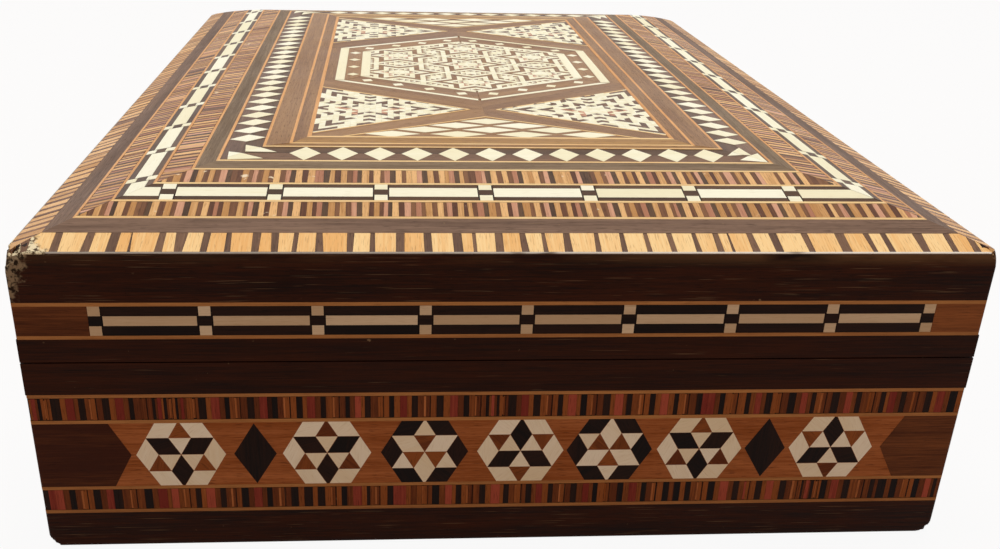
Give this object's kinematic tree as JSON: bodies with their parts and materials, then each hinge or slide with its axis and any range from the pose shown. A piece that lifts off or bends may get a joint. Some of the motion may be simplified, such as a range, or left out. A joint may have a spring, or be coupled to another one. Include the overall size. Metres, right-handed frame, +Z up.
{
  "type": "marquetry box",
  "caption": "Low rectangular wooden box with a hinged pillow-topped lid, veneered all over in banded geometric marquetry and lined with velvet.",
  "frame": {"origin": "middle of the underside, on the surface the box stands on", "axes": "+Z up, +Y along the box away from the pictured short end, +X towards the hinged long side"},
  "size_m": [0.142, 0.196, 0.0547],
  "materials": {
    "carcass_wood": "plain sawn",
    "dark_wood": "lacquered",
    "line_wood": "lacquered",
    "brown_wood": "lacquered",
    "striped_wood": "lacquered",
    "mosaic": "lacquered bone and wood rods",
    "velvet": "short pile",
    "brass": "worn"
  },
  "bodies": {
    "base": {"base_floor": "carcass_wood", "base_wall_front": "carcass_wood", "base_wall_back": "carcass_wood", "base_wall_left": "carcass_wood", "base_wall_right": "carcass_wood", "base_foot_band": "dark_wood", "base_stringing": "line_wood", "base_stripe_lower": "striped_wood", "base_stripe_upper": "striped_wood", "base_hexagon_field": "brown_wood", "base_hexagon_tiles": "mosaic", "base_lozenges": "dark_wood", "base_end_blanks": "brown_wood", "base_edge_band": "dark_wood", "base_lining_floor": "velvet", "base_lining_front": "velvet", "base_lining_back": "velvet", "base_lining_left": "velvet", "base_lining_right": "velvet", "hinge_near_base_leaf": "brass", "hinge_far_base_leaf": "brass", "hinge_near_pin": "brass", "hinge_far_pin": "brass", "hinge_base_screws": "brass"},
    "lid": {"lid_board": "carcass_wood", "lid_wall_front": "carcass_wood", "lid_wall_back": "carcass_wood", "lid_wall_left": "carcass_wood", "lid_wall_right": "carcass_wood", "lid_low_band": "dark_wood", "lid_side_stringing": "line_wood", "lid_side_chain": "mosaic", "lid_side_blanks": "brown_wood", "lid_high_band": "dark_wood", "top_rim_blocks": "striped_wood", "top_dark_outer": "dark_wood", "top_stringing": "line_wood", "top_stripe_outer": "striped_wood", "top_chain": "mosaic", "top_stripe_inner": "striped_wood", "top_dark_middle": "dark_wood", "top_diamonds": "mosaic", "top_dark_inner": "dark_wood", "top_dark_frame": "dark_wood", "panel_cross_field": "dark_wood", "panel_star_triangles": "mosaic", "panel_rhomb_triangles": "mosaic", "medallion_border": "mosaic", "medallion_field": "mosaic", "lid_lining_top": "velvet", "lid_lining_sides": "velvet", "hinge_near_lid_leaf": "brass", "hinge_far_lid_leaf": "brass", "hinge_lid_screws": "brass"}
  },
  "joints": [
    {"name": "lid_hinge", "type": "hinge", "parent": "base", "child": "lid", "pos_m": [0.0705, 0, 0.0319], "axis": [0, 1, 0], "range_deg": [0, 95]}
  ]
}
